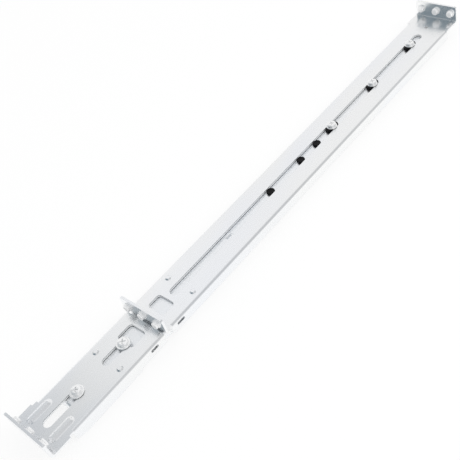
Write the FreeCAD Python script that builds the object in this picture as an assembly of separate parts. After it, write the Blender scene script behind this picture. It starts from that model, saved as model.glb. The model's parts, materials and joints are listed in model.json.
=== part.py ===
"""Telescoping server rail in plated sheet steel, one run of it at real size, in millimetres.

The rail lies on its side walls: X runs from the front ear to the rear ear, Y across the rail
and Z up, with the origin under the middle of the rail. A rear rail carries the middle and
rear ears, a short front bracket carries the front ear, and an inner slide nested under both
joins them. Screws on the inner slide run in the long slot and the keyhole of the outer two.
"""

import FreeCAD, Part
import math
import os

V = FreeCAD.Vector

# Driving dimensions. A station is measured along the rail from the front ear's outer face,
# and a level is measured from the top of the outer web, positive upwards.
RAIL_LENGTH = 552.0
RAIL_WIDTH = 43.6
TAB_WIDTH = 47.1
SHEET = 2.0
SLIDE_SHEET = 1.5
BEND = 0.9
RUNNING_GAP = 0.35
EAR_HEIGHT = 15.0
EAR_CORNER = 2.0
WALL_DEPTH = 9.5
SKIRT_DEPTH = 12.0
WALL_CORNER = 1.1

RACK_PITCH = 15.875
RACK_LEVEL = 7.4
TAP_RADIUS = 2.1

# Front bracket
BRACKET_END = 116.3
BRACKET_WALLS = 21.5
TAB_END = 18.3
SKIRT_START = 30.0
SKIRT_END = 88.0
SIGHT_SLOT = (12.2, 50.7, 8.5)
RIB_STATIONS = (6.8, 29.8)
RIB_OFFSET = 12.9
RIB_WIDTH = 7.6
RIB_HEIGHT = 1.5
BEAD_FLANK = [(0.34, 1.0), (0.78, 0.22), (1.0, 0.0)]
BRACKET_DIMPLE = 76.3
KEYHOLE_START = 71.5
KEYHOLE_WIDTH = 8.0
KEYHOLE_WINDOW = (94.0, 109.7)
BRACKET_NOTCH = (100.6, 108.2)

# Rear rail
REAR_RAIL_START = 117.6
REAR_TAB_END = 122.6
REAR_WALLS = (124.0, 533.0)
REAR_WINDOW = (128.5, 142.0)
REAR_NOTCH = (130.0, 138.0)
REAR_DIMPLE = 157.9
LONG_SLOT = (147.0, 518.0, 8.2)
PILOT_HOLE = (531.0, 1.6)

WINDOW_WIDTH = 18.0
WINDOW_CORNER = 3.0
DIMPLE_OFFSET = 13.85
DIMPLE_WIDTH = 5.4
DIMPLE_HEIGHT = 1.0
PRESS_FOOT = 0.4
NOTCH_LEVELS = (-5.3, -2.6)

# Inner slide and what it carries
SLIDE_START = 33.5
SLIDE_END = 536.0
SLIDE_WALLS = 38.0
SLIDE_FOOT = -9.2
CATCH = (214.9, 220.9, 4.8)
BUTTON_STATIONS = (274.6, 318.2, 342.2)
GUIDE_STATIONS = (366.0, 432.75, 499.5)
FRONT_SCREW = 44.8
KEYHOLE_SCREW = 93.3
GLIDE_WIDTH = 7.5
GLIDE_LENGTH = 14.4
GLIDE_DROP = 0.3
BUTTON_STEM_RADIUS = 2.6
BUTTON_REACH = 1.5

# Fasteners: a head is its radius and its height, a clinch nut its width over flats and height
SHANK_RADIUS = 2.0
CLEARANCE_RADIUS = 2.25
SHANK_REACH = 3.0
GUIDE_HEAD = (4.3, 2.5)
FRONT_HEAD = (4.0, 2.3)
KEYHOLE_HEAD = (6.0, 2.8)
RECESS_DEPTH = 1.5
RECESS_SPAN = 1.1
RECESS_BLADE = 0.9
GUIDE_FLANGE_RADIUS = 4.9
FRONT_WASHER_RADIUS = 5.9
WASHER_HEIGHT = 0.9
FRONT_SHOULDER_RADIUS = 3.0
KEYHOLE_SHOULDER_RADIUS = 3.6
SLIDE_NUT = (7.0, 3.0)
EAR_NUT = (6.8, 3.2)
BLIND_END = 1.0

# Values that follow from the driving dimensions
WEB_TOP = SKIRT_DEPTH
SLIDE_TOP = WEB_TOP - SHEET - RUNNING_GAP
SLIDE_UNDER = SLIDE_TOP - SLIDE_SHEET
SLIDE_WIDTH = RAIL_WIDTH - 2 * (SHEET + RUNNING_GAP)
HEAD_SEAT = WEB_TOP + RUNNING_GAP
RAISED_SEAT = HEAD_SEAT + WASHER_HEIGHT
ALONG, ACROSS, UP = V(1, 0, 0), V(0, 1, 0), V(0, 0, 1)


def along(station):
    """X of a station along the rail."""
    return station - RAIL_LENGTH / 2


def box(x, y, z):
    """Box between the low and high values of each pair."""
    corner = V(x[0], y[0], z[0])
    return Part.makeBox(x[1] - x[0], y[1] - y[0], z[1] - z[0], corner)


def rounded(shape, radius, wanted):
    """Shape with every edge that wanted() picks rounded to the radius."""
    edges = [edge for edge in shape.Edges if wanted(edge)]
    return shape.makeFillet(radius, edges)


def runs(edge, direction):
    """True where a straight edge runs along the direction."""
    if not isinstance(edge.Curve, Part.Line):
        return False
    return abs(abs(edge.Curve.Direction.dot(direction)) - 1) < 1e-6


def folded(path, sheet, bend, place, sweep):
    """Sheet folded along an outer skin given by its corners, every fold a right angle.

    The outer skin turns each corner on bend + sheet and the inner skin on bend. place() puts
    a corner of the path in space, and the profile is extruded along sweep.
    """

    def skin(corners, radius):
        edges, last = [], corners[0]
        for before, corner, after in zip(corners, corners[1:], corners[2:]):
            back = (before - corner).normalize()
            ahead = (after - corner).normalize()
            middle = corner + (back + ahead) * radius * (1 - math.sqrt(0.5))
            start, end = corner + back * radius, corner + ahead * radius
            edges.append(Part.makeLine(last, start))
            edges.append(Part.Arc(start, middle, end).toShape())
            last = end
        edges.append(Part.makeLine(last, corners[-1]))
        return edges

    outer = [place(*corner) for corner in path]
    steps = [(b - a).normalize() for a, b in zip(outer, outer[1:])]
    turn = steps[1] - steps[0]
    inner = [outer[0] + turn.dot(steps[1]) * steps[1] * sheet]
    for before, ahead, corner in zip(steps, steps[1:], outer[1:]):
        inner.append(corner + (ahead - before) * sheet)
    inner.append(outer[-1] - steps[-2] * sheet)
    edges = skin(outer, bend + sheet) + skin(inner, bend)
    edges.append(Part.makeLine(outer[0], inner[0]))
    edges.append(Part.makeLine(outer[-1], inner[-1]))
    wire = Part.Wire(Part.__sortEdges__(edges))
    return Part.Face(wire).extrude(sweep)


def channel(x, width, top, foot, sheet):
    """Web with a wall turned down along each side, between the two X values."""
    half = width / 2
    path = [(half, foot), (half, top), (-half, top), (-half, foot)]
    return folded(path, sheet, BEND, lambda y, z: V(x[0], y, z), ALONG * (x[1] - x[0]))


def ear(face, tab_end, width):
    """Mounting ear turned up from a flat tab of the web, its outer face at X = face."""
    under = WEB_TOP - SHEET
    top = WEB_TOP + EAR_HEIGHT
    path = [(tab_end, under), (face, under), (face, top)]
    half = width / 2
    plate = folded(path, SHEET, BEND, lambda x, z: V(x, -half, z), ACROSS * width)
    return rounded(plate, EAR_CORNER, lambda edge: runs(edge, ALONG) and edge.CenterOfMass.z > top - 0.1)


def wall_corners_rounded(walls, reach):
    """Walls of a channel with the corners of their feet, up to the level reach, rounded."""
    return rounded(
        walls, WALL_CORNER, lambda edge: runs(edge, ACROSS) and edge.CenterOfMass.z < reach
    )


def flat_web(x, width):
    """Flat stretch of the outer web between two X values."""
    return box(x, (-width / 2, width / 2), (WEB_TOP - SHEET, WEB_TOP))


def oblong(x, width, z):
    """Slot-shaped column with round ends, from end to end between the X values."""
    radius = width / 2
    low, high = x[0] + radius, x[1] - radius
    ends = [Part.makeCylinder(radius, z[1] - z[0], V(end, 0, z[0])) for end in (low, high)]
    middle = box((low, high), (-radius, radius), z)
    return middle.fuse(ends).removeSplitter()


def window(x):
    """Rounded rectangular punch through the outer web."""
    half = WINDOW_WIDTH / 2
    punch = box(x, (-half, half), (WEB_TOP - SHEET - 1, WEB_TOP + 1))
    return rounded(punch, WINDOW_CORNER, lambda edge: runs(edge, UP))


def side_notch(stations):
    """Rounded punch across both side walls."""
    x = [along(station) for station in stations]
    z = [WEB_TOP + level for level in NOTCH_LEVELS]
    punch = box(x, (-RAIL_WIDTH, RAIL_WIDTH), z)
    return rounded(punch, 1.0, lambda edge: runs(edge, ACROSS))


def bead(x, y, width, height):
    """Pressed bead between the X values, its flanks and ends sloping down to the sheet in steps."""
    reach = width / 2
    low, high = x[0] + reach, x[1] - reach
    foot = [(reach, -PRESS_FOOT), (0, -PRESS_FOOT)]
    slopes = [(across * reach, rise * height) for across, rise in BEAD_FLANK]
    points = [V(across, 0, level) for across, level in [(0, height)] + slopes + foot]
    section = Part.Face(Part.makePolygon(points + points[:1]))
    end = section.revolve(V(), UP, 360).translated(V(low, y, WEB_TOP))
    pieces = [end.translated(V(high - low, 0, 0))]
    for quarter in (90, -90):
        flank = section.rotated(V(), UP, quarter).extrude(ALONG * (high - low))
        pieces.append(flank.translated(V(low, y, WEB_TOP)))
    return end.fuse(pieces).removeSplitter()


def dimple(x, y):
    """Round dimple with a sloping flank and a flat crest."""
    wide = DIMPLE_WIDTH / 2
    slope = DIMPLE_HEIGHT + PRESS_FOOT
    start = V(x, y, WEB_TOP - PRESS_FOOT)
    return Part.makeCone(wide + PRESS_FOOT, wide - DIMPLE_HEIGHT, slope, start, UP)


def press(sheet_part, form):
    """Raise a form in the web: the punch leaves its hollow on the underside."""
    hollow = form.translated(V(0, 0, -SHEET))
    return sheet_part.fuse(form).cut(hollow)


def dimples(sheet_part, station):
    """Pair of round locating dimples pressed up across the web."""
    for side in (1, -1):
        sheet_part = press(sheet_part, dimple(along(station), side * DIMPLE_OFFSET))
    return sheet_part


def hexagon(across_flats, start, height, axis):
    """Hexagonal bar from its start along the axis."""
    radius = across_flats / math.sqrt(3)
    corners = []
    for side in range(7):
        angle = math.radians(60 * side)
        corners.append(V(radius * math.cos(angle), radius * math.sin(angle), 0))
    bar = Part.Face(Part.makePolygon(corners)).extrude(UP * height)
    bar.Placement = FreeCAD.Placement(start, FreeCAD.Rotation(UP, axis))
    return bar


def ear_holes(face):
    """Row of three hexagonal holes through an ear, for its nuts."""
    holes = []
    for row in (1, 0, -1):
        start = V(face - SHEET, row * RACK_PITCH, WEB_TOP + RACK_LEVEL)
        holes.append(hexagon(EAR_NUT[0], start, 3 * SHEET, ALONG))
    return holes


def make_front_bracket():
    """Short channel with the front ear, two ribs, a sight slot and the keyhole."""
    face, end = along(0), along(BRACKET_END)
    body = ear(face, along(TAB_END), TAB_WIDTH)
    walls = channel((along(BRACKET_WALLS), end), RAIL_WIDTH, WEB_TOP, 0, SHEET)
    step = WEB_TOP - WALL_DEPTH
    across = (-RAIL_WIDTH, RAIL_WIDTH)
    walls = walls.cut(box((along(SKIRT_END), end + 1), across, (-1, step)))
    nose = Part.makePolygon(
        [
            V(along(BRACKET_WALLS) - 1, -RAIL_WIDTH, -1),
            V(along(SKIRT_START), -RAIL_WIDTH, -1),
            V(along(SKIRT_START), -RAIL_WIDTH, 0),
            V(along(BRACKET_WALLS) - 1, -RAIL_WIDTH, step),
            V(along(BRACKET_WALLS) - 1, -RAIL_WIDTH, -1),
        ]
    )
    walls = walls.cut(Part.Face(nose).extrude(ACROSS * 2 * RAIL_WIDTH))
    walls = wall_corners_rounded(walls, step + 1)
    body = body.fuse([flat_web((along(TAB_END) - 1, along(BRACKET_WALLS) + 1), RAIL_WIDTH), walls])
    body = body.removeSplitter()

    through = (WEB_TOP - SHEET - 1, WEB_TOP + 4)
    sight = oblong([along(s) for s in SIGHT_SLOT[:2]], SIGHT_SLOT[2], through)
    track_end = KEYHOLE_WINDOW[0] + KEYHOLE_WIDTH
    track = oblong((along(KEYHOLE_START), along(track_end)), KEYHOLE_WIDTH, through)
    opening = window([along(s) for s in KEYHOLE_WINDOW])
    cuts = [sight, track, opening, side_notch(BRACKET_NOTCH)] + ear_holes(face)
    body = body.cut(cuts)
    for side in (1, -1):
        x = [along(s) for s in RIB_STATIONS]
        body = press(body, bead(x, side * RIB_OFFSET, RIB_WIDTH, RIB_HEIGHT))
    return dimples(body, BRACKET_DIMPLE)


def make_rear_rail():
    """Long channel with the middle and rear ears and the long guide slot."""
    foot = WEB_TOP - WALL_DEPTH
    front, rear = along(REAR_RAIL_START), along(RAIL_LENGTH)
    x = [along(station) for station in REAR_WALLS]
    walls = channel(x, RAIL_WIDTH, WEB_TOP, foot, SHEET)
    walls = wall_corners_rounded(walls, foot + 0.1)
    middle_ear = ear(front, along(REAR_TAB_END), TAB_WIDTH)
    tail = ear(rear, x[1] - 1, RAIL_WIDTH)
    neck = flat_web((along(REAR_TAB_END) - 1, x[0] + 1), RAIL_WIDTH)
    body = walls.fuse([middle_ear, tail, neck]).removeSplitter()

    through = (WEB_TOP - SHEET - 1, WEB_TOP + 1)
    slot = oblong([along(s) for s in LONG_SLOT[:2]], LONG_SLOT[2], through)
    opening = window([along(s) for s in REAR_WINDOW])
    pilot = Part.makeCylinder(PILOT_HOLE[1], SHEET + 2, V(along(PILOT_HOLE[0]), 0, through[0]))
    cuts = [slot, opening, pilot, side_notch(REAR_NOTCH)]
    cuts += ear_holes(front) + ear_holes(rear - SHEET)
    return dimples(body.cut(cuts), REAR_DIMPLE)


def make_inner_slide():
    """Nested channel with a turned-down nose, a hanging catch and its fastener holes."""
    foot = WEB_TOP + SLIDE_FOOT
    start, end = along(SLIDE_START), along(SLIDE_END)
    body = channel((along(SLIDE_WALLS), end), SLIDE_WIDTH, SLIDE_TOP, foot, SLIDE_SHEET)
    body = wall_corners_rounded(body, foot + 0.1)
    half = SLIDE_WIDTH / 2 - SLIDE_SHEET - BEND
    nose_path = [(along(SLIDE_WALLS) + 1, SLIDE_TOP), (start, SLIDE_TOP), (start, foot + 1.5)]
    nose = folded(nose_path, SLIDE_SHEET, BEND, lambda x, z: V(x, -half, z), ACROSS * 2 * half)
    body = body.fuse(nose).removeSplitter()

    x = [along(station) for station in CATCH[:2]]
    hinge = CATCH[2] / 2
    punch = box(x, (-hinge, hinge), (SLIDE_UNDER - 1, SLIDE_TOP + 1))
    reliefs = [(x[0] - 0.6, x[0]), (x[1], x[1] + 0.6)]
    cuts = [punch] + [box(r, (-hinge, hinge + 1), (SLIDE_UNDER - 1, SLIDE_TOP + 1)) for r in reliefs]
    hang = hinge - BEND - SLIDE_SHEET
    path = [(hinge + 1, SLIDE_TOP), (hang, SLIDE_TOP), (hang, SLIDE_TOP - 6)]
    catch = folded(path, SLIDE_SHEET, BEND, lambda y, z: V(x[0], y, z), ALONG * (x[1] - x[0]))
    for station in GUIDE_STATIONS + (FRONT_SCREW, KEYHOLE_SCREW):
        cuts.append(slide_hole(station, CLEARANCE_RADIUS))
    for station in BUTTON_STATIONS:
        cuts.append(slide_hole(station, BUTTON_STEM_RADIUS))
    return body.cut(cuts).fuse(catch).removeSplitter()


def slide_hole(station, radius):
    """Punch through the inner slide's web."""
    return Part.makeCylinder(radius, SLIDE_SHEET + 2, V(along(station), 0, SLIDE_UNDER - 1))


def ear_nut(face, out, row, blind):
    """Hexagonal clinch nut set in an ear, its mouth in the face that looks along out."""
    centre = V(face, row * RACK_PITCH, WEB_TOP + RACK_LEVEL)
    inward = ALONG * -out
    across_flats, reach = EAR_NUT
    depth = SHEET + reach
    bar = hexagon(across_flats, centre, depth, inward)
    bore = depth - BLIND_END if blind else depth
    return bar.cut(Part.makeCylinder(TAP_RADIUS, bore, centre, inward))


def turned(profile, station):
    """Turned part from its half section of radius and height pairs, standing at a station."""
    points = [V(radius, 0, height) for radius, height in profile]
    face = Part.Face(Part.makePolygon(points + [points[0]]))
    return face.revolve(V(), UP, 360).translated(V(along(station), 0, 0))


def cross_recess(station, top, span):
    """Punch of a cross driver: two blades crossed at the middle."""
    half, side = span / 2, RECESS_BLADE / 2
    depth = (-RECESS_DEPTH, 1)
    blades = box((-half, half), (-side, side), depth).fuse(box((-side, side), (-half, half), depth))
    return blades.rotated(V(), UP, 45).translated(V(along(station), 0, top))


def slide_screw(station, head, seat, below):
    """Machine screw into the inner slide: a cross-recessed head on its seat.

    below holds the radius and height pairs between the shank and the underside of the head:
    a captive flange on a guide screw, a shoulder on one that runs in a slot.
    """
    head_radius, head_height = head
    foot = SLIDE_UNDER - SHANK_REACH
    top = seat + head_height
    shank = [(0, foot), (SHANK_RADIUS, foot)] + below
    crown = [(head_radius, seat), (head_radius, top), (0, top)]
    screw = turned(shank + crown, station)
    return screw.cut(cross_recess(station, top, head_radius * RECESS_SPAN))


def shoulder(radius, top):
    """Profile of a screw's shoulder, from the inner slide up through the outer web."""
    return [(SHANK_RADIUS, SLIDE_TOP), (radius, SLIDE_TOP), (radius, top)]


def flange():
    """Profile of a guide screw's captive flange, which clamps the glide."""
    radius = GUIDE_FLANGE_RADIUS
    return [(SHANK_RADIUS, HEAD_SEAT), (radius, HEAD_SEAT), (radius, RAISED_SEAT)]


def front_washer():
    """Wide washer under the front screw's head, around its shoulder."""
    inner, outer = FRONT_SHOULDER_RADIUS, FRONT_WASHER_RADIUS
    low, high = HEAD_SEAT, RAISED_SEAT
    return turned([(inner, low), (outer, low), (outer, high), (inner, high)], FRONT_SCREW)


def slide_nut(station):
    """Hexagonal clinch nut under the inner slide's web."""
    across_flats, height = SLIDE_NUT
    start = V(along(station), 0, SLIDE_UNDER)
    nut = hexagon(across_flats, start, height, UP * -1)
    return nut.cut(Part.makeCylinder(SHANK_RADIUS, height, start - UP * height))


def guide_glide(station):
    """Nylon block that runs in the long slot, clamped under its screw's flange."""
    half = GLIDE_LENGTH / 2
    x = (along(station) - half, along(station) + half)
    block = oblong(x, GLIDE_WIDTH, (SLIDE_TOP, HEAD_SEAT))
    base = V(along(station), 0, SLIDE_TOP)
    return block.cut(Part.makeCylinder(SHANK_RADIUS, HEAD_SEAT - SLIDE_TOP, base))


def glide_button(station):
    """Nylon button that runs in the long slot, its stem pressed into the inner slide."""
    radius, top = GLIDE_WIDTH / 2, WEB_TOP - GLIDE_DROP
    tip = SLIDE_UNDER - BUTTON_REACH
    head = [(0, top), (radius, top), (radius, SLIDE_TOP)]
    stem = [(BUTTON_STEM_RADIUS, SLIDE_TOP), (BUTTON_STEM_RADIUS, tip), (0, tip)]
    return turned(head + stem, station)


def build():
    """Every node of the rail by name."""
    nodes = {
        "rear_rail": make_rear_rail(),
        "front_bracket": make_front_bracket(),
        "inner_slide": make_inner_slide(),
    }
    for number, row in enumerate((1, 0, -1), start=1):
        nodes[f"front_ear_nut_{number}"] = ear_nut(along(0), -1, row, blind=True)
        middle = along(REAR_RAIL_START) + SHEET
        nodes[f"middle_ear_nut_{number}"] = ear_nut(middle, 1, row, blind=False)
        nodes[f"rear_ear_nut_{number}"] = ear_nut(along(RAIL_LENGTH), 1, row, blind=True)
    for number, station in enumerate(BUTTON_STATIONS, start=1):
        nodes[f"glide_button_{number}"] = glide_button(station)
    for number, station in enumerate(GUIDE_STATIONS, start=1):
        nodes[f"guide_glide_{number}"] = guide_glide(station)
        nodes[f"guide_screw_{number}"] = slide_screw(station, GUIDE_HEAD, RAISED_SEAT, flange())
        nodes[f"guide_nut_{number}"] = slide_nut(station)
    in_slot = shoulder(FRONT_SHOULDER_RADIUS, RAISED_SEAT)
    nodes["front_screw"] = slide_screw(FRONT_SCREW, FRONT_HEAD, RAISED_SEAT, in_slot)
    nodes["front_washer"] = front_washer()
    nodes["front_nut"] = slide_nut(FRONT_SCREW)
    in_keyhole = shoulder(KEYHOLE_SHOULDER_RADIUS, HEAD_SEAT)
    nodes["keyhole_screw"] = slide_screw(KEYHOLE_SCREW, KEYHOLE_HEAD, HEAD_SEAT, in_keyhole)
    nodes["keyhole_nut"] = slide_nut(KEYHOLE_SCREW)
    return nodes


os.makedirs("parts", exist_ok=True)
for name, shape in build().items():
    shape.exportStep(f"parts/{name}.step")
    solids = len(shape.Solids)
    size = shape.BoundBox
    print(
        f"{name}: {solids} solid, valid {shape.isValid()}, {shape.Volume:.1f} mm3, "
        f"{size.XLength:.2f} x {size.YLength:.2f} x {size.ZLength:.2f}"
    )
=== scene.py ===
"""Looks of a telescoping server rail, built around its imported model, in metres.

The three sheet-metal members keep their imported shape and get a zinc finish. Every nut, screw,
glide and button is a turned or moulded form worked out here as one surface on a grid, in the
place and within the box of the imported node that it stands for.
"""

import json
import logging
import math
from dataclasses import dataclass, field
from enum import Enum

import bpy
import numpy as np
from mathutils import Matrix, Vector


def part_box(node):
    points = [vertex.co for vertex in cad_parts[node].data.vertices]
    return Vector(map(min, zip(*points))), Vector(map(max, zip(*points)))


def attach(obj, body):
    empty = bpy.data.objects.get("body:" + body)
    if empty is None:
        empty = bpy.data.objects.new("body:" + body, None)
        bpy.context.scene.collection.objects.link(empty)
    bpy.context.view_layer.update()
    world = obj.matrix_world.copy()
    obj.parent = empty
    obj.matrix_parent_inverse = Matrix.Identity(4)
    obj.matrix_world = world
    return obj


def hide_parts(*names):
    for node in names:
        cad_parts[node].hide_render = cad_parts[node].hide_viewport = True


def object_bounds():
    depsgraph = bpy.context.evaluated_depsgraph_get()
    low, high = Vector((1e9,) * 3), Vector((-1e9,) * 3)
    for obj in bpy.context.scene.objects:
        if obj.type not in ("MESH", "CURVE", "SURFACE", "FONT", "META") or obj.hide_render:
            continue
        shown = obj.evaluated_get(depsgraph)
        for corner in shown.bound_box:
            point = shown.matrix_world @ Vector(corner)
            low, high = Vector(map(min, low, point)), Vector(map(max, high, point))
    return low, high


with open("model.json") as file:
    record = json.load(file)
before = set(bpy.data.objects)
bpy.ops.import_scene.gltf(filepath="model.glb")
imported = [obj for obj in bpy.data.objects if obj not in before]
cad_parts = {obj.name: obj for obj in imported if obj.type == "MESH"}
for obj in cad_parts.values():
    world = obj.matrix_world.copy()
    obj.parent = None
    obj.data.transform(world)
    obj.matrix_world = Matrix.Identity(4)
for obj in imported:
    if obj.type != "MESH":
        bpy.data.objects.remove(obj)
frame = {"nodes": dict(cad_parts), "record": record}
CAD_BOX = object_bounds()

LOG = logging.getLogger("server_rail")
MM = 0.001
SHARP_ANGLE = math.radians(38)
POLE = 0.05  # radius in millimetres of the flat that closes a turned form at its axis
BEYOND_FLATS = 9.0  # radius in millimetres outside every hexagon, so its flats cut the ring
Array = np.ndarray
Operand = "Signal | float"


# ---------------------------------------------------------------- shader maths


class Signal:
    """Output of a shader node that takes part in Python arithmetic."""

    def __init__(self, graph: "Graph", socket: bpy.types.NodeSocket) -> None:
        """Wraps one output.

        Args:
            graph: The graph that the output belongs to.
            socket: The output socket.
        """
        self.graph = graph
        self.socket = socket

    def __add__(self, other: Operand) -> "Signal":
        """Sum."""
        return self.graph.math("ADD", self, other)

    __radd__ = __add__

    def __sub__(self, other: Operand) -> "Signal":
        """Difference."""
        return self.graph.math("SUBTRACT", self, other)

    def __rsub__(self, other: Operand) -> "Signal":
        """Difference, taken from a plain number."""
        return self.graph.math("SUBTRACT", other, self)

    def __mul__(self, other: Operand) -> "Signal":
        """Product."""
        return self.graph.math("MULTIPLY", self, other)

    __rmul__ = __mul__

    def __abs__(self) -> "Signal":
        """Size without its sign."""
        return self.graph.math("ABSOLUTE", self)

    def between(self, low: float, high: float) -> "Signal":
        """Smooth step from 0 at low to 1 at high.

        Args:
            low: Value that gives 0.
            high: Value that gives 1.

        Returns:
            The stepped signal.
        """
        step = self.graph.node(
            "ShaderNodeMapRange",
            {"interpolation_type": "SMOOTHSTEP"},
            {0: self, 1: low, 2: high, 3: 0.0, 4: 1.0},
        )
        return Signal(self.graph, step.outputs[0])


class Graph:
    """Node tree of a material or world, written as expressions."""

    def __init__(self, tree: bpy.types.NodeTree) -> None:
        """Empties the tree and keeps it.

        Args:
            tree: The node tree to write in.
        """
        self.tree = tree
        tree.nodes.clear()

    def node(
        self, kind: str, settings: dict[str, object] | None = None, inputs: dict | None = None
    ) -> bpy.types.Node:
        """Adds a node.

        Args:
            kind: The node's type name.
            settings: Properties of the node, set first.
            inputs: Values or links of its sockets, by name or by number.

        Returns:
            The new node.
        """
        made = self.tree.nodes.new(kind)
        for name, setting in (settings or {}).items():
            if name == "stops":
                self._set_stops(made.color_ramp, setting)
            else:
                setattr(made, name, setting)
        for name, given in (inputs or {}).items():
            self.feed(made.inputs[name], given)
        return made

    def feed(self, socket: bpy.types.NodeSocket, given: object) -> None:
        """Links a socket to a Signal or an output socket, or sets its value.

        Args:
            socket: The input to set.
            given: A Signal, an output socket or a plain value.
        """
        if isinstance(given, Signal):
            given = given.socket
        if isinstance(given, bpy.types.NodeSocket):
            self.tree.links.new(given, socket)
        else:
            socket.default_value = given

    @staticmethod
    def _set_stops(ramp: bpy.types.ColorRamp, stops: list) -> None:
        """Sets a ramp's stops from pairs of place and colour.

        Args:
            ramp: The ramp to fill.
            stops: Pairs of a place from 0 to 1 and a colour.
        """
        while len(ramp.elements) < len(stops):
            ramp.elements.new(0.5)
        for element, (place, colour) in zip(ramp.elements, stops):
            element.position = place
            element.color = (*colour, 1.0)

    def math(self, operation: str, *operands: Operand) -> Signal:
        """Result of one Math node on the operands.

        Args:
            operation: The Math node's operation.
            operands: Its inputs, in order.

        Returns:
            The node's result.
        """
        made = self.node(
            "ShaderNodeMath", {"operation": operation}, dict(enumerate(operands))
        )
        return Signal(self, made.outputs[0])

    def object_place(self, scale: tuple[float, float, float]) -> bpy.types.NodeSocket:
        """Object coordinates, in metres, times a scale along each axis."""
        place = self.node("ShaderNodeTexCoord").outputs["Object"]
        return self.node("ShaderNodeMapping", None, {"Vector": place, "Scale": scale}).outputs[0]

    def noise(
        self, scale: tuple[float, float, float], detail: float = 2.0, roughness: float = 0.5
    ) -> Signal:
        """Noise whose cells are 1 / scale metres along each axis.

        Args:
            scale: Cells per metre along X, Y and Z.
            detail: How many finer layers are added.
            roughness: How strong the finer layers are.

        Returns:
            A value around 0.5.
        """
        inputs = {
            "Vector": self.object_place(scale),
            "Scale": 1.0,
            "Detail": detail,
            "Roughness": roughness,
        }
        return Signal(self, self.node("ShaderNodeTexNoise", None, inputs).outputs[0])

    def blend(self, share: Operand, first: tuple, second: tuple) -> bpy.types.NodeSocket:
        """Colour that goes from first to second as share goes from 0 to 1.

        Args:
            share: Share of the second colour.
            first: Colour at 0.
            second: Colour at 1.

        Returns:
            The mixed colour's socket.
        """
        mix = self.node(
            "ShaderNodeMix",
            {"data_type": "RGBA"},
            {0: share, 6: (*first, 1.0), 7: (*second, 1.0)},
        )
        return mix.outputs[2]


# ---------------------------------------------------------------- finishes


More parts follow.
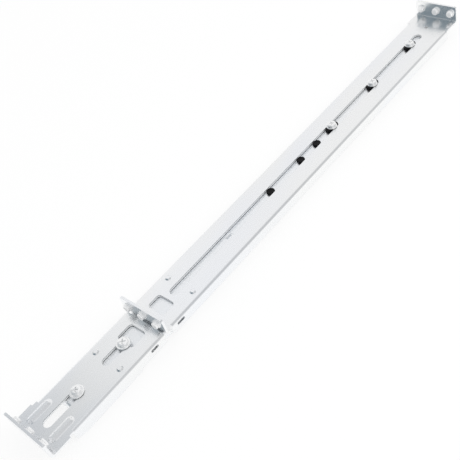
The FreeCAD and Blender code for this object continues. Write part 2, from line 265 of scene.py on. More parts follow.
@dataclass(frozen=True)
class ZincSheetFinish:
    """Bright zinc plating on rolled sheet, with soft edges and dull punched openings.

    The sheet has a fine rolling grain along X and a faint mottling, and it droops a little
    towards its long bends. Round each punched opening the top of the edge is dark and rough:
    partly the zone where the sheet broke, partly painted shade along the edge. Below it is a
    bright band that the punch rubbed.
    """

    name: str
    roughness: float
    cool: tuple[float, float, float] = (0.935, 0.95, 0.975)
    warm: tuple[float, float, float] = (0.96, 0.965, 0.965)
    # colour of the top of each punched edge: partly the broken zone, partly painted shade along the
    # edge
    break_and_painted_shade: tuple[float, float, float] = (0.21, 0.235, 0.25)
    broken_roughness: float = 0.55
    grain_per_metre: float = 1500.0
    grain_run: float = 45.0
    mottle_per_metre: float = 90.0
    edge_radius: float = 0.22 * MM
    web_levels: tuple[float, float] = (9.6 * MM, 12.1 * MM)
    # heights of that dark band: painted shade along the top of the punched edges, over the broken
    # zone
    break_and_shade_levels: tuple[float, float] = (11.55 * MM, 11.65 * MM)
    rubbed_metallic: float = 0.2
    openings_half_width: float = 12.0 * MM
    openings_half_length: float = 272.5 * MM
    droop_start: float = 13.0 * MM
    droop: float = 3.0
    wall_tilt: tuple[float, float] = (0.4, 0.8)
    upright_tilt: tuple[float, float] = (0.2, 0.45)
    drift_per_metre: tuple[float, float, float] = (12.0, 30.0, 30.0)
    drift_share: tuple[float, float] = (0.3, 0.7)
    uneven_polish: float = 0.08
    grain_depth: float = 0.0016 * MM
    mottle_depth: float = 0.005 * MM

    def grain(self, graph: Graph, facing_wall: Signal) -> Signal:
        """Streaks along X: noise whose cells are long in X and fine across the sheet.

        Args:
            graph: The material's nodes.
            facing_wall: 1 on faces that look across the rail.

        Returns:
            The streaks, from 0 to 1.
        """
        run, fine = self.grain_run, self.grain_per_metre
        on_web = graph.noise((run, fine, run), detail=3.0, roughness=0.6)
        on_wall = graph.noise((run, run, fine), detail=3.0, roughness=0.6)
        return on_web + facing_wall * (on_wall - on_web)

    def punched_edge(self, x: Signal, y: Signal, z: Signal, upright: Signal) -> Signal:
        """Share of punched edge: upright faces of the openings in the web.

        Args:
            x: Place along the rail.
            y: Place across it.
            z: Height.
            upright: 1 on faces that stand upright.

        Returns:
            1 on a punched edge and 0 elsewhere.
        """
        low, high = self.web_levels
        level = z.between(low - MM, low) * (1.0 - z.between(high - 0.1 * MM, high))
        half, reach = self.openings_half_width, self.openings_half_length
        across = 1.0 - abs(y).between(half, half + MM)
        along = 1.0 - abs(x).between(reach, reach + MM)
        return level * across * along * upright

    def material(self) -> bpy.types.Material:
        """Builds the material.

        Returns:
            The finished material.
        """
        material, graph, shader = new_material(self.name)
        normal = graph.node("ShaderNodeNewGeometry").outputs["True Normal"]
        facing = graph.node("ShaderNodeSeparateXYZ", None, {"Vector": normal})
        place = graph.node("ShaderNodeSeparateXYZ", None, {"Vector": graph.object_place((1, 1, 1))})
        x, y, z = (Signal(graph, place.outputs[axis]) for axis in "XYZ")
        facing_wall = abs(Signal(graph, facing.outputs["Y"])).between(*self.wall_tilt)
        upright = 1.0 - abs(Signal(graph, facing.outputs["Z"])).between(*self.upright_tilt)
        punched = self.punched_edge(x, y, z, upright)
        # painted shade: a dark band at the top of each punched edge, partly the real broken zone
        break_and_painted_shade = punched * z.between(*self.break_and_shade_levels)
        grain = self.grain(graph, facing_wall)
        slow = self.mottle_per_metre
        mottle = graph.noise((slow, slow, slow), detail=4.0, roughness=0.55)
        drift = graph.noise(self.drift_per_metre, detail=1.0)
        plated = graph.blend(drift.between(*self.drift_share), self.cool, self.warm)
        # the plated colour, darkened on that band as painted shade
        colour = graph.node(
            "ShaderNodeMix", {"data_type": "RGBA"}, {0: break_and_painted_shade, 6: plated, 7: (*self.break_and_painted_shade, 1.0)}
        ).outputs[2]
        uneven = self.uneven_polish
        smooth = self.roughness + (grain - 0.5) * uneven + (mottle - 0.5) * uneven
        rough = smooth + punched * (self.broken_roughness - smooth)
        soft = graph.node("ShaderNodeBevel", {"samples": 4}, {"Radius": self.edge_radius})
        past = graph.math("MAXIMUM", abs(y) - self.droop_start, 0.0)
        texture = (grain - 0.5) * self.grain_depth + (mottle - 0.5) * self.mottle_depth
        height = texture - past * past * self.droop * (1.0 - facing_wall)
        bump = graph.node(
            "ShaderNodeBump",
            None,
            {"Strength": 1.0, "Distance": 1.0, "Height": height, "Normal": soft.outputs[0]},
        )
        graph.feed(shader.inputs["Base Color"], colour)
        graph.feed(shader.inputs["Metallic"], 1.0 - punched * (1.0 - self.rubbed_metallic))
        graph.feed(shader.inputs["Roughness"], rough)
        graph.feed(shader.inputs["Normal"], bump.outputs[0])
        return material


@dataclass(frozen=True)
class TurnedMetalFinish:
    """Plated turned steel: by default a clean metal with a faint uneven polish. Made less metallic,
    as on the ear nuts, its pale colour shows matt and stands in as painted highlight.
    """

    name: str
    colour: tuple[float, float, float]
    shade: tuple[float, float, float]
    roughness: float
    metallic: float = 1.0
    polish_per_metre: float = 700.0
    polish_depth: float = 0.03 * MM
    polish_strength: float = 0.12
    uneven_polish: float = 0.12

    def material(self) -> bpy.types.Material:
        """Builds the material.

        Returns:
            The finished material.
        """
        material, graph, shader = new_material(self.name)
        cells = self.polish_per_metre
        polish = graph.noise((cells, cells, cells), detail=3.0)
        tint = graph.noise((cells / 4, cells / 4, cells / 4), detail=1.0)
        bump = graph.node(
            "ShaderNodeBump",
            None,
            {"Strength": self.polish_strength, "Distance": self.polish_depth, "Height": polish},
        )
        graph.feed(shader.inputs["Base Color"], graph.blend(tint, self.shade, self.colour))
        graph.feed(shader.inputs["Metallic"], self.metallic)
        graph.feed(shader.inputs["Roughness"], self.roughness + (polish - 0.5) * self.uneven_polish)
        graph.feed(shader.inputs["Normal"], bump.outputs[0])
        return material


@dataclass(frozen=True)
class NylonFinish:
    """Moulded black nylon with a fine matt skin."""

    name: str = "black_nylon"
    colour: tuple[float, float, float] = (0.004, 0.004, 0.005)
    worn: tuple[float, float, float] = (0.01, 0.01, 0.011)
    roughness: float = 0.5
    sheen_of_skin: float = 0.12
    skin_per_metre: float = 2600.0
    skin_depth: float = 0.03 * MM
    skin_strength: float = 0.25
    wear_share: tuple[float, float] = (0.45, 0.8)
    uneven_skin: float = 0.2

    def material(self) -> bpy.types.Material:
        """Builds the material.

        Returns:
            The finished material.
        """
        material, graph, shader = new_material(self.name)
        cells = self.skin_per_metre
        skin = graph.noise((cells, cells, cells), detail=2.0)
        wear = graph.noise((cells / 8, cells / 8, cells / 8), detail=3.0)
        bump = graph.node(
            "ShaderNodeBump",
            None,
            {"Strength": self.skin_strength, "Distance": self.skin_depth, "Height": skin},
        )
        colour = graph.blend(wear.between(*self.wear_share), self.colour, self.worn)
        graph.feed(shader.inputs["Base Color"], colour)
        graph.feed(shader.inputs["Specular IOR Level"], self.sheen_of_skin)
        graph.feed(shader.inputs["Roughness"], self.roughness + (wear - 0.5) * self.uneven_skin)
        graph.feed(shader.inputs["Normal"], bump.outputs[0])
        return material


def new_material(name: str) -> tuple[bpy.types.Material, Graph, bpy.types.Node]:
    """Makes a material with a Principled shader on its output.

    Args:
        name: The material's name.

    Returns:
        The material, its graph and its shader node.
    """
    material = bpy.data.materials.new(name)
    material.use_nodes = True
    graph = Graph(material.node_tree)
    shader = graph.node("ShaderNodeBsdfPrincipled")
    graph.node("ShaderNodeOutputMaterial", None, {"Surface": shader.outputs[0]})
    return material, graph, shader


class Slot(Enum):
    """Finishes by the record's slot names, and the duller zinc of the inner slide."""

    SHEET = "zinc_sheet"
    SLIDE = "zinc_slide"
    EAR_NUT = "ear_nuts"
    SCREW = "bright_screws"
    PLAIN = "plain_steel"
    NYLON = "black_nylon"


FINISHES = {
    Slot.SHEET: ZincSheetFinish("bright_zinc_sheet", 0.26),
    Slot.SLIDE: ZincSheetFinish(
        "satin_zinc_sheet", 0.32, cool=(0.945, 0.965, 0.99), warm=(0.96, 0.972, 0.985)
    ),
    # ear nuts: the tin's pale colour made mostly matt, so its white is painted highlight for the
    # bright nut ends
    Slot.EAR_NUT: TurnedMetalFinish(
        "ear_nut_tin_painted_highlight", (0.99, 0.99, 0.99), (0.965, 0.97, 0.975), 0.24, metallic=0.22
    ),
    Slot.SCREW: TurnedMetalFinish(
        "bright_nickel", (0.98, 0.98, 0.975), (0.93, 0.935, 0.94), 0.14, metallic=0.7
    ),
    Slot.PLAIN: TurnedMetalFinish("plain_zinc", (0.86, 0.87, 0.89), (0.74, 0.75, 0.77), 0.34),
    Slot.NYLON: NylonFinish(),
}


# ---------------------------------------------------------------- surfaces on a grid


def angles(count: int) -> Array:
    """Evenly spaced angles round a circle, starting half a step from 0."""
    return (np.arange(count) + 0.5) * (2 * math.pi / count)


def grid_quads(rows: int, columns: int, closed: bool) -> Array:
    """Quads of a grid whose columns close on themselves, and its rows too when closed.

    Args:
        rows: How many rings of points.
        columns: How many points a ring has.
        closed: True when the last row joins the first.

    Returns:
        Four point numbers for each quad.
    """
    down = np.arange(rows if closed else rows - 1)
    here = down[:, None] * columns + np.arange(columns)[None, :]
    below = ((down + 1) % rows)[:, None] * columns + np.arange(columns)[None, :]
    quads = [here, np.roll(here, -1, 1), np.roll(below, -1, 1), below]
    return np.stack([corner.ravel() for corner in quads], axis=1)


def enclosed_volume(points: Array, faces: list[list[int]]) -> float:
    """Signed volume inside a closed surface: a sixth of the sum of its triangles' products.

    Args:
        points: The surface's points.
        faces: Point numbers of each face.

    Returns:
        The volume, negative where the faces look inwards.
    """
    total = 0.0
    for size in {len(face) for face in faces}:
        ring = points[np.array([face for face in faces if len(face) == size])]
        for corner in range(1, size - 1):
            crossed = np.cross(ring[:, corner], ring[:, corner + 1])
            total += float(np.einsum("ij,ij->", ring[:, 0], crossed))
    return total / 6


def solid_from_rings(name: str, rings: Array, closed: bool = False) -> bpy.types.Object:
    """Closed mesh through a stack of rings of points.

    Args:
        name: The piece's name.
        rings: Points of shape (rings, points in a ring, 3).
        closed: True when the last ring joins the first, as in a sleeve. Otherwise a flat face
            closes each end.

    Returns:
        The new object, with its faces pointing outwards.
    """
    rows, columns, _ = rings.shape
    points = rings.reshape(-1, 3)
    faces = grid_quads(rows, columns, closed).tolist()
    if not closed:
        last = (rows - 1) * columns
        faces.append(list(range(columns))[::-1])
        faces.append(list(range(last, last + columns)))
    if enclosed_volume(points - points.mean(axis=0), faces) < 0:
        faces = [face[::-1] for face in faces]
    mesh = bpy.data.meshes.new(name)
    mesh.from_pydata(points.tolist(), [], faces)
    mesh.validate()
    mesh.polygons.foreach_set("use_smooth", np.ones(len(mesh.polygons), dtype=bool))
    mesh.set_sharp_from_angle(angle=SHARP_ANGLE)
    piece = bpy.data.objects.new(name, mesh)
    bpy.context.scene.collection.objects.link(piece)
    return piece


def turned(profile: Array, turn: Array, flats: Array | None = None) -> Array:
    """Rings of a turned form: each profile point goes round the axis.

    Where flats holds a number, the ring is cut to a hexagon that far from the axis: the radius
    is the smaller of the turned one and flats / cos(angle from the nearest flat's middle).

    Args:
        profile: Radius and height pairs, shape (rings, 2).
        turn: The angles of a ring's points.
        flats: Distance of the hexagon's flats for each ring, infinite where it is round.

    Returns:
        Points of shape (rings, angles, 3), about the Z axis.
    """
    radius = np.repeat(profile[:, :1], len(turn), axis=1)
    if flats is not None:
        sixth = math.pi / 3
        off_middle = (turn % sixth) - sixth / 2
        radius = np.minimum(radius, flats[:, None] / np.cos(off_middle)[None, :])
    height = np.repeat(profile[:, 1:], len(turn), axis=1)
    return np.stack([radius * np.cos(turn), radius * np.sin(turn), height], axis=-1)


def rounded_profile(corners: list[tuple[float, float, float]], steps: int = 5) -> Array:
    """Profile through corners, each given as radius, height and the size of its rounding.

    A rounded corner is a quadratic curve: it leaves one side and meets the next at the
    rounding's distance from the corner, and the corner itself pulls it.

    Args:
        corners: Radius, height and rounding, in order.
        steps: How many pieces each rounding has.

    Returns:
        Radius and height pairs.
    """
    points = np.array([corner[:2] for corner in corners])
    out: list[Array] = []
    share = np.linspace(0, 1, steps + 1)[:, None]
    for index, (point, corner) in enumerate(zip(points, corners)):
        if corner[2] == 0 or index in (0, len(points) - 1):
            out.append(point[None, :])
            continue
        back, ahead = points[index - 1] - point, points[index + 1] - point
        start = point + back / np.linalg.norm(back) * corner[2]
        end = point + ahead / np.linalg.norm(ahead) * corner[2]
        out.append((1 - share) ** 2 * start + 2 * share * (1 - share) * point + share**2 * end)
    return np.vstack(out)


def thread_rings(
    inner: float, outer: float, low: float, high: float, pitch: float, turn: Array
) -> Array:
    """Rings of a screw thread, a wave between two radii that climbs one pitch a turn.

    The radius at an angle and a height is the mean plus half the depth times the cosine of
    2 pi (height / pitch - angle / 2 pi), and the wave fades out over the last half pitch.

    Args:
        inner: Radius at the thread's root.
        outer: Radius at its crest.
        low: Height where it starts.
        high: Height where it ends.
        pitch: Climb in one turn.
        turn: The angles of a ring's points.

    Returns:
        Points of shape (rings, angles, 3).
    """
    count = max(int(round(abs(high - low) / pitch * 8)), 4)
    height = np.linspace(low, high, count)
    inside = np.minimum(np.abs(height - low), np.abs(high - height)) / (pitch / 2)
    fade = np.clip(inside, 0, 1)[:, None]
    wave = np.cos(2 * math.pi * height[:, None] / pitch - turn[None, :])
    radius = (inner + outer) / 2 + fade * wave * (outer - inner) / 2
    level = np.repeat(height[:, None], len(turn), axis=1)
    return np.stack([radius * np.cos(turn), radius * np.sin(turn), level], axis=-1)


def stadium(
    inset: Array, height: Array, half_length: float, half_width: float, turn: Array
) -> Array:
    """Rings with straight sides and round ends, each drawn in by its inset.

    A point at an angle lies on a circle of the drawn-in half width, whose centre is moved
    along X towards that point's end.

    Args:
        inset: How far each ring is drawn in.
        height: Height of each ring.
        half_length: Half of the outline's length.
        half_width: Half of its width.
        turn: The angles of a ring's points.

    Returns:
        Points of shape (rings, angles, 3).
    """
    radius = (half_width - inset)[:, None]
    reach = (half_length - half_width) * np.sign(np.cos(turn))[None, :]
    level = np.repeat(height[:, None], len(turn), axis=1)
    x = reach + radius * np.cos(turn)[None, :]
    return np.stack([x, radius * np.sin(turn)[None, :], level], axis=-1)


# ---------------------------------------------------------------- placing pieces


@dataclass(frozen=True)
class Place:
    """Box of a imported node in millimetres, as the place that its piece fills."""

    node: str

    @property
    def low(self) -> Array:
        """Lowest corner."""
        return np.array(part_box(self.node)[0]) / MM

    @property
    def high(self) -> Array:
        """Highest corner."""
        return np.array(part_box(self.node)[1]) / MM

    @property
    def centre(self) -> Array:
        """Middle of the box."""
        return (self.low + self.high) / 2

    @property
    def size(self) -> Array:
        """Length of each side."""
        return self.high - self.low


def set_in(rings: Array, place: Place, axis: str, start: float) -> Array:
    """Moves rings about the Z axis to a node's place, from millimetres to metres.

    Args:
        rings: Points about the Z axis.
        place: The node's box.
        axis: "z" stands them up, "x" lays them along X and "-x" along X the other way. Laid
            down, the rings' own Y faces across the rail, and they are turned, never mirrored.
        start: Coordinate along the axis where the rings' zero height goes.

    Returns:
        Points in metres.
    """
    u, v, along = rings[..., 0], rings[..., 1], rings[..., 2]
    centre = place.centre
    if axis == "z":
        moved = [centre[0] + u, centre[1] + v, start + along]
    else:
        sign = 1.0 if axis == "x" else -1.0
        moved = [start + sign * along, centre[1] - sign * v, centre[2] + u]
    return np.stack(moved, axis=-1) * MM


BODY_OF = {
    node: body
    for body, nodes in frame["record"]["behaviour"]["bodies"].items()
    for node in nodes
}


class Workshop:
    """Holds the finishes and gives each piece its body and the finish of its slot."""

    def __init__(self) -> None:
        """Makes the material of every slot."""
        self.materials = {slot: finish.material() for slot, finish in FINISHES.items()}

    def stand_in(self, piece: bpy.types.Object, node: str, slot: Slot) -> None:
        """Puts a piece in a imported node's stead.

        Args:
            piece: The finished piece.
            node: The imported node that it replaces.
            slot: The material slot that it takes its finish from.
        """
        piece.data.materials.append(self.materials[slot])
        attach(piece, BODY_OF[node])
        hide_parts(node)
        LOG.info("%s rides on %s", piece.name, BODY_OF[node])

    def dress(self, node: str, slot: Slot) -> None:
        """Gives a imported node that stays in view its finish.

        Args:
            node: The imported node.
            slot: The finish that it gets.
        """
        packed = frame["nodes"][node]
        if not packed.material_slots:
            packed.data.materials.append(None)
        for material_slot in packed.material_slots:
            material_slot.material = self.materials[slot]
        LOG.info("%s keeps its packed shape", node)


# ---------------------------------------------------------------- sub-assemblies


@dataclass
class SheetMembers:
    """The rear rail, front bracket and inner slide, in folded zinc-plated sheet."""

    nodes: tuple[tuple[str, Slot], ...] = (
        ("rear_rail", Slot.SHEET),
        ("front_bracket", Slot.SHEET),
        ("inner_slide", Slot.SLIDE),
    )

    def build(self, workshop: Workshop) -> None:
        """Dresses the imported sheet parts: the two bright members and the duller slide."""
        for node, slot in self.nodes:
            workshop.dress(node, slot)


@dataclass
class EarNuts:
    """Clinch nuts of the three ears: a hexagonal collar, a round barrel and an M5 thread."""

    collar_height: float = 1.1
    collar_corner: float = 3.8
    barrel_radius: float = 3.1
    chamfer: float = 0.3
    sheet: float = 2.0
    thread_root: float = 2.1
    thread_crest: float = 2.45
    pitch: float = 0.8
    blind_end: float = 1.0
    neck: float = 2.8
    neck_height: float = 0.7
    rim_chamfer: float = 0.15
    corner_chamfer: float = 0.45
    end_flat: float = 0.45
    closed_end: float = 1.6
    points_round: int = 60
    ears: tuple[tuple[str, str, bool], ...] = (
        ("front_ear", "x", True),
        ("middle_ear", "-x", False),
        ("rear_ear", "-x", True),
    )
    turn: Array = field(init=False)

    def __post_init__(self) -> None:
        """Works out the angles of a ring."""
        self.turn = angles(self.points_round)

    def rings(self, depth: float, flats: float, blind: bool) -> Array:
        """Rings of one nut, from the bottom of its bore out over its mouth to its end.

        Args:
            depth: Length of the nut.
            flats: Distance of the flats from the axis, in the ear's hole.
            blind: True when the thread ends before the nut does.

        Returns:
            Points about the Z axis, with the mouth at height 0.
        """
        bore_end = depth - self.blind_end if blind else depth
        root, crest = self.thread_root, self.thread_crest
        bore = thread_rings(root, crest, bore_end, 0.25, self.pitch, self.turn)
        mouth = [(crest + 0.05, 0.12, 0), (crest + 0.2, 0.0, 0)]
        top = self.sheet + self.collar_height
        low_barrel, rim = top + self.neck_height, self.barrel_radius
        collar = [
            (BEYOND_FLATS, 0.0, 0),
            (BEYOND_FLATS, top - self.rim_chamfer, 0),
            (self.collar_corner, top - self.rim_chamfer, 0),
            (self.collar_corner - self.corner_chamfer, top, 0),
        ]
        barrel = [
            (self.neck, top, 0),
            (self.neck, low_barrel, 0),
            (rim, low_barrel, 0.08),
            (rim, depth - self.chamfer, 0.1),
            (rim - self.chamfer, depth, 0.1),
            (rim - self.end_flat, depth, 0),
        ]
        parts = [(mouth, np.inf), (collar, flats), (barrel, np.inf)]
        stack = [bore]
        for corners, cut in parts:
            profile = rounded_profile(corners, steps=4)
            stack.append(turned(profile, self.turn, np.full(len(profile), cut)))
        if blind:
            stack.append(turned(np.array([(self.closed_end, depth), (POLE, depth)]), self.turn))
        return np.vstack(stack)

    def build(self, workshop: Workshop) -> None:
        """Makes the nine nuts.

        Args:
            workshop: Gives each piece its finish, body and slot.
        """
        for ear, axis, blind in self.ears:
            for number in (1, 2, 3):
                node = f"{ear}_nut_{number}"
                place = Place(node)
                rings = self.rings(place.size[0], place.size[1] / 2, blind)
                start = place.low[0] if axis == "x" else place.high[0]
                placed = set_in(rings, place, axis, start)
                piece = solid_from_rings(f"{node}_turned", placed, closed=not blind)
                workshop.stand_in(piece, node, Slot.EAR_NUT)


@dataclass(frozen=True)
class HeadShape:
    """Head of a slide screw, over a shoulder that stands on the inner slide."""

    crown_radius: float
    flange_radius: float
    seat: float
    flange_height: float
    shoulder_radius: float
    serrations: int = 0


@dataclass
class SlideScrews:
    """Screws into the inner slide, with their recessed crowns and threaded ends."""

    heads: dict[str, HeadShape] = field(
        default_factory=lambda: {
            "guide_screw_1": HeadShape(4.1, 4.9, 12.35, 0.9, 1.95),
            "guide_screw_2": HeadShape(4.1, 4.9, 12.35, 0.9, 1.95),
            "guide_screw_3": HeadShape(4.1, 4.9, 12.35, 0.9, 1.95),
            "front_screw": HeadShape(3.8, 4.0, 13.25, 0.6, 3.0),
            "keyhole_screw": HeadShape(4.2, 6.0, 12.35, 1.0, 3.6, serrations=30),
        }
    )
    slide_top: float = 9.65
    shank_radius: float = 1.95
    thread_root: float = 1.7
    pitch: float = 0.7
    points_round: int = 96
    crown_rings: int = 34
    recess_reach: float = 0.62
    recess_depth: float = 1.5
    blade_half: float = 0.42
    blade_slope: float = 0.12
    recess_slope: float = 0.2
    serration: float = 0.014
    point_radius: float = 1.3
    dome_span: float = 0.9
    crown_edge: float = 0.45
    crown_rise: float = 0.25
    blade_root: float = 1.5
    blade_taper: float = 0.8
    recess_taper: float = 0.45
    bevel: float = 0.3
    crown_fillet: float = 0.25
    thread_gap: float = 0.3

    def crown(self, radius: float, low: float, high: float, turn: Array) -> Array:
        """Rings of the domed crown, from its middle out to its edge.

        The dome is part of an ellipse: height = low + (high - low) sqrt(1 - (s r / R)^2),
        with s the dome's span.
        The cross recess is two crossed blades that taper from the middle outwards: a point
        within a blade's half width of either diagonal is lowered.

        Args:
            radius: Radius of the crown.
            low: Height of its edge.
            high: Height of its middle.
            turn: The angles of a ring's points.

        Returns:
            Points of shape (rings, angles, 3).
        """
        share = np.linspace(0.01, 1.0, self.crown_rings)[:, None]
        out = radius * share * np.ones_like(turn)[None, :]
        dome = low + (high - low) * np.sqrt(1 - (self.dome_span * share) ** 2)
        diagonal = turn[None, :] + math.pi / 4
        across = np.minimum(np.abs(out * np.cos(diagonal)), np.abs(out * np.sin(diagonal)))
        reach = np.maximum(np.abs(out * np.cos(diagonal)), np.abs(out * np.sin(diagonal)))
        end = radius * self.recess_reach
        half = self.blade_half * (self.blade_root - self.blade_taper * reach / end)
        wall = np.clip((half - across) / self.blade_slope, 0, 1)
        wall = wall * np.clip((end - reach) / self.recess_slope, 0, 1)
        level = dome - wall * self.recess_depth * (1 - self.recess_taper * reach / end)
        return np.stack([out * np.cos(turn), out * np.sin(turn), level], axis=-1)

    def rings(self, place: Place, shape: HeadShape) -> Array:
        """Rings of one screw, from the middle of its crown down to its foot.

        Args:
            place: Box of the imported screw.
            shape: Its head.

        Returns:
            Points about the Z axis, at their real heights.
        """
        turn = angles(self.points_round)
        foot, top = place.low[2], place.high[2]
        seat, shank, flange = shape.seat, self.shank_radius, shape.flange_radius
        flange_top = seat + shape.flange_height
        bevel = min(self.bevel, flange - shape.crown_radius)
        edge = flange_top + self.crown_edge * (top - flange_top)
        peak = top + self.crown_rise * (top - edge)
        crown = self.crown(shape.crown_radius, edge, peak, turn)
        crown[..., 2] = np.minimum(crown[..., 2], top)
        lower = rounded_profile(
            [
                (shape.crown_radius, edge - 0.05, 0),
                (shape.crown_radius, flange_top, 0.0 if bevel < self.bevel else self.crown_fillet),
                (flange - bevel + 0.01, flange_top, 0),
                (flange, flange_top - 0.25, 0.1),
                (flange, seat, 0.1),
                (shape.shoulder_radius, seat, 0),
                (shape.shoulder_radius, self.slide_top, 0),
                (shank, self.slide_top, 0),
            ]
        )
        skirt = turned(lower, turn)
        if shape.serrations:
            wave = 1 + self.serration * np.sign(np.sin(turn * shape.serrations))[None, :]
            rim = (lower[:, 0] > shape.crown_radius + 1.0)[:, None]
            skirt[..., :2] *= np.where(rim, wave, 1.0)[..., None]
            skirt[..., :2] /= np.where(rim, 1 + self.serration, 1.0)[..., None]
        low, high = foot + self.thread_gap, self.slide_top - self.thread_gap
        thread = thread_rings(self.thread_root, shank, high, low, self.pitch, turn)
        tip = [(self.thread_root, foot + 0.2), (self.point_radius, foot), (POLE, foot)]
        point = turned(np.array(tip), turn)
        return np.vstack([crown, skirt, thread, point])

    def build(self, workshop: Workshop) -> None:
        """Makes the five screws.

        Args:
            workshop: Gives each piece its finish, body and slot.
        """
        for node, shape in self.heads.items():
            place = Place(node)
            rings = self.rings(place, shape)
            piece = solid_from_rings(f"{node}_turned", set_in(rings, place, "z", 0.0))
            workshop.stand_in(piece, node, Slot.SCREW)


@dataclass
class SlideNuts:
    """Hexagonal clinch nuts under the inner slide's web."""

    nodes: tuple[str, ...] = (
        "guide_nut_1",
        "guide_nut_2",
        "guide_nut_3",
        "front_nut",
        "keyhole_nut",
    )
    bore: float = 2.02
    chamfer: float = 0.45
    countersink: float = 0.35

    def build(self, workshop: Workshop) -> None:
        """Makes the five nuts.

        Args:
            workshop: Gives each piece its finish, body and slot.
        """
        turn = angles(60)
        for node in self.nodes:
            place = Place(node)
            height, flats = place.size[2], place.size[1] / 2
            edge = flats + 0.45
            profile = np.array(
                [
                    (self.bore, 0.0),
                    (BEYOND_FLATS, 0.0),
                    (BEYOND_FLATS, height - self.chamfer),
                    (edge, height),
                    (self.bore + self.countersink, height),
                    (self.bore, height - self.countersink),
                ]
            )
            rings = turned(profile, turn, np.full(len(profile), flats))
            piece = solid_from_rings(
                f"{node}_hexagon",
                set_in(rings * (1, 1, -1), place, "z", place.high[2]),
                closed=True,
            )
            workshop.stand_in(piece, node, Slot.PLAIN)


@dataclass
class FrontWasher:
    """Wide flat washer under the front screw, with rolled edges."""

    node: str = "front_washer"
    hole_radius: float = 3.1
    rolled: float = 0.28

    def build(self, workshop: Workshop) -> None:
        """Makes the washer.

        Args:
            workshop: Gives each piece its finish, body and slot.
        """
        place = Place(self.node)
        outer, height = place.size[0] / 2, place.size[2]
        corners = [
            (self.hole_radius, height / 2, 0),
            (self.hole_radius, 0.0, self.rolled),
            (outer, 0.0, self.rolled),
            (outer, height, self.rolled),
            (self.hole_radius, height, self.rolled),
            (self.hole_radius, height / 2 + 0.02, 0),
        ]
        rings = turned(rounded_profile(corners), angles(96))
        piece = solid_from_rings(
            f"{self.node}_turned", set_in(rings, place, "z", place.low[2]), closed=True
        )
        workshop.stand_in(piece, self.node, Slot.SCREW)


@dataclass
class GuideGlides:
    """Nylon blocks with round ends that run in the long slot."""

    count: int = 3
    bore: float = 2.0
    rounding: float = 0.35
    face_inset: float = 1.2
    points_round: int = 72

    def build(self, workshop: Workshop) -> None:
        """Makes the glides.

        Args:
            workshop: Gives each piece its finish, body and slot.
        """
        turn = angles(self.points_round)
        for number in range(1, self.count + 1):
            node = f"guide_glide_{number}"
            place = Place(node)
            size, r = place.size, self.rounding
            face = self.face_inset
            inset = np.array([face, r, 0.3 * r, 0.0, 0.0, 0.1, face])
            height = np.array([size[2], size[2], size[2] - 0.3 * r, size[2] - r, 0.1, 0.0, 0.0])
            outline = stadium(inset, height, size[0] / 2, size[1] / 2, turn)
            hole = turned(np.array([(self.bore, 0.0), (self.bore, size[2])]), turn)
            rings = np.vstack([outline, hole])
            piece = solid_from_rings(
                f"{node}_moulded", set_in(rings, place, "z", place.low[2]), closed=True
            )
            workshop.stand_in(piece, node, Slot.NYLON)


@dataclass
class GlideButtons:
    """Nylon buttons pressed into the inner slide, each with a shallow dish in its crown."""

    count: int = 3
    stem_radius: float = 2.6
    head_height: float = 2.05
    stem_chamfer: float = 0.3
    dish: float = 0.25

    def build(self, workshop: Workshop) -> None:
        """Makes the buttons.

        Args:
            workshop: Gives each piece its finish, body and slot.
        """
        turn = angles(72)
        for number in range(1, self.count + 1):
            node = f"glide_button_{number}"
            place = Place(node)
            radius, top = place.size[0] / 2, place.size[2]
            head = top - self.head_height
            corners = [
                (POLE, top - self.dish, 0),
                (radius * 0.45, top - self.dish, 0.5),
                (radius * 0.7, top, 0.4),
                (radius, top, 0.5),
                (radius, head, 0.1),
                (self.stem_radius, head, 0),
                (self.stem_radius, self.stem_chamfer, 0),
                (self.stem_radius - self.stem_chamfer, 0.0, 0),
                (POLE, 0.0, 0),
            ]
            rings = turned(rounded_profile(corners), turn)
            piece = solid_from_rings(f"{node}_moulded", set_in(rings, place, "z", place.low[2]))
            workshop.stand_in(piece, node, Slot.NYLON)


# ---------------------------------------------------------------- studio


@dataclass(frozen=True)
class CameraStand:
    """Where the camera stands, as its direction and distance from a point on the rail."""

    aim: tuple[float, float, float] = (-53.8 * MM, 2.0 * MM, 12.0 * MM)
    back: tuple[float, float, float] = (-0.4192, -0.5811, 0.6976)
    up: tuple[float, float, float] = (0.6549, 0.3386, 0.6756)
    distance: float = 607.1 * MM
    lens: float = 57.76
    sensor_width: float = 36.0
    sight: tuple[float, float] = (0.01, 20.0)

    def build(self) -> None:
        """Makes the scene's camera."""
        data = bpy.data.cameras.new("camera")
        data.lens = self.lens
        data.sensor_width = self.sensor_width
        data.clip_start, data.clip_end = self.sight
        camera = bpy.data.objects.new("camera", data)
        bpy.context.scene.collection.objects.link(camera)
        back = Vector(self.back).normalized()
        right = Vector(self.up).cross(back).normalized()
        up = back.cross(right)
        turn = Matrix((right, up, back)).transposed().to_4x4()
        camera.matrix_world = Matrix.Translation(Vector(self.aim) + back * self.distance) @ turn
        bpy.context.scene.camera = camera


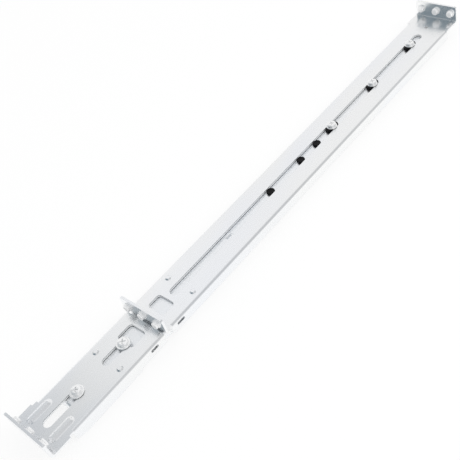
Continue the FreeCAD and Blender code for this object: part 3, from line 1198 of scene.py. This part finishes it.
@dataclass(frozen=True)
class Surroundings:
    """White studio with two dimmer regions, as bright sheet metal mirrors them.

    One is the unlit end of the room, beyond the front of the rail. The other is the side that
    the rail is looked at from, above the table, where no panel stands.
    """

    dim_end: tuple[float, float, float] = (-0.80, 0.30, 0.52)
    dim_side: tuple[float, float, float] = (0.42, -0.62, 0.66)
    soft_level: float = 0.97
    end_stops: tuple[tuple[float, tuple[float, float, float]], ...] = (
        (0.00, (0.90, 0.90, 0.90)),
        (0.60, (0.87, 0.87, 0.875)),
        (0.67, (0.93, 0.93, 0.935)),
        (0.71, (0.88, 0.885, 0.895)),
        (0.75, (0.64, 0.655, 0.67)),
        (0.79, (0.44, 0.46, 0.48)),
        (0.88, (0.44, 0.475, 0.50)),
        (0.94, (0.28, 0.32, 0.35)),
        (1.00, (0.13, 0.18, 0.22)),
    )
    side_stops: tuple[tuple[float, tuple[float, float, float]], ...] = (
        (0.00, (1.0, 1.0, 1.0)),
        (0.78, (1.0, 1.0, 1.0)),
        (0.88, (0.92, 0.92, 0.92)),
        (0.95, (0.70, 0.71, 0.72)),
        (1.00, (0.60, 0.61, 0.62)),
    )

    def toward(
        self, graph: Graph, side: tuple[float, float, float], stops: tuple
    ) -> bpy.types.NodeSocket:
        """Colour by how near a ray's direction is to one side.

        The ramp's place is half of one plus the cosine of the angle between them.

        Args:
            graph: The world's graph.
            side: The direction.
            stops: The ramp's stops.

        Returns:
            The colour.
        """
        direction = graph.node("ShaderNodeTexCoord").outputs["Generated"]
        along = graph.node(
            "ShaderNodeVectorMath",
            {"operation": "DOT_PRODUCT"},
            {0: direction, 1: Vector(side).normalized()},
        )
        share = Signal(graph, along.outputs["Value"]) * 0.5 + 0.5
        return graph.node("ShaderNodeValToRGB", {"stops": list(stops)}, {"Fac": share}).outputs[0]

    def build(self) -> None:
        """Makes the world: plain white to the camera and on matt things, dimmer in mirrors."""
        world = bpy.data.worlds.new("studio")
        bpy.context.scene.world = world
        world.use_nodes = True
        graph = Graph(world.node_tree)
        mirrored = graph.node(
            "ShaderNodeMix",
            {"data_type": "RGBA", "blend_type": "MULTIPLY"},
            {
                0: 1.0,
                6: self.toward(graph, self.dim_end, self.end_stops),
                7: self.toward(graph, self.dim_side, self.side_stops),
            },
        ).outputs[2]
        path = graph.node("ShaderNodeLightPath").outputs
        plain = graph.node("ShaderNodeBackground", None, {"Color": (1, 1, 1, 1), "Strength": 1.0})
        soft = graph.node(
            "ShaderNodeBackground", None, {"Color": (1, 1, 1, 1), "Strength": self.soft_level}
        )
        seen = graph.node("ShaderNodeBackground", None, {"Color": mirrored, "Strength": 1.0})
        lit = graph.node(
            "ShaderNodeMixShader",
            None,
            {0: path["Is Glossy Ray"], 1: soft.outputs[0], 2: seen.outputs[0]},
        )
        shown = graph.node(
            "ShaderNodeMixShader",
            None,
            {0: path["Is Camera Ray"], 1: lit.outputs[0], 2: plain.outputs[0]},
        )
        graph.node("ShaderNodeOutputWorld", None, {"Surface": shown.outputs[0]})


@dataclass(frozen=True)
class Floor:
    """Plain white table under the rail, which keeps a faint shadow."""

    half_size: float = 4.0
    clearance: float = 0.02 * MM
    colour: tuple[float, float, float] = (0.95, 0.95, 0.95)
    glow_share: float = 0.8

    def build(self) -> None:
        """Makes the floor just under the rail."""
        half = self.half_size
        level = CAD_BOX[0].z - self.clearance
        corners = [
            (x * half, y * half, level) for x, y in ((-1, -1), (1, -1), (1, 1), (-1, 1))
        ]
        mesh = bpy.data.meshes.new("floor")
        mesh.from_pydata(corners, [], [(0, 1, 2, 3)])
        floor = bpy.data.objects.new("floor", mesh)
        bpy.context.scene.collection.objects.link(floor)
        material = bpy.data.materials.new("white_table")
        material.use_nodes = True
        graph = Graph(material.node_tree)
        matt = graph.node("ShaderNodeBsdfDiffuse", None, {"Color": (*self.colour, 1.0)})
        glow = graph.node("ShaderNodeEmission", None, {"Color": (1, 1, 1, 1), "Strength": 1.0})
        path = graph.node("ShaderNodeLightPath").outputs
        camera, glossy = Signal(graph, path["Is Camera Ray"]), Signal(graph, path["Is Glossy Ray"])
        through = Signal(graph, path["Is Transmission Ray"])
        seen = graph.math("MINIMUM", camera + glossy + through, 1.0)
        mixed = graph.node(
            "ShaderNodeMixShader",
            None,
            {0: seen * self.glow_share, 1: matt.outputs[0], 2: glow.outputs[0]},
        )
        graph.node("ShaderNodeOutputMaterial", None, {"Surface": mixed.outputs[0]})
        floor.data.materials.append(material)


@dataclass(frozen=True)
class SoftLamp:
    """Large soft lamp above the near side of the rail."""

    place: tuple[float, float, float] = (0.5, -0.9, 0.9)
    size: float = 0.8
    power: float = 3.0

    def build(self) -> None:
        """Makes the lamp, aimed at the rail."""
        data = bpy.data.lights.new("soft_lamp", "AREA")
        data.shape = "SQUARE"
        data.size = self.size
        data.energy = self.power
        lamp = bpy.data.objects.new("soft_lamp", data)
        bpy.context.scene.collection.objects.link(lamp)
        lamp.visible_glossy = False
        lamp.location = self.place
        lamp.rotation_mode = "QUATERNION"
        lamp.rotation_quaternion = Vector(self.place).to_track_quat("Z", "Y")


def main() -> None:
    """Builds the rail's looks and the studio, and reports each piece."""
    logging.basicConfig(level=logging.INFO, format="%(name)s: %(message)s")
    bpy.context.scene.view_settings.view_transform = "Standard"
    CameraStand().build()
    Surroundings().build()
    Floor().build()
    SoftLamp().build()
    workshop = Workshop()
    assemblies = [
        SheetMembers(),
        EarNuts(),
        SlideScrews(),
        SlideNuts(),
        FrontWasher(),
        GuideGlides(),
        GlideButtons(),
    ]
    for assembly in assemblies:
        assembly.build(workshop)


if __name__ == "__main__":
    main()
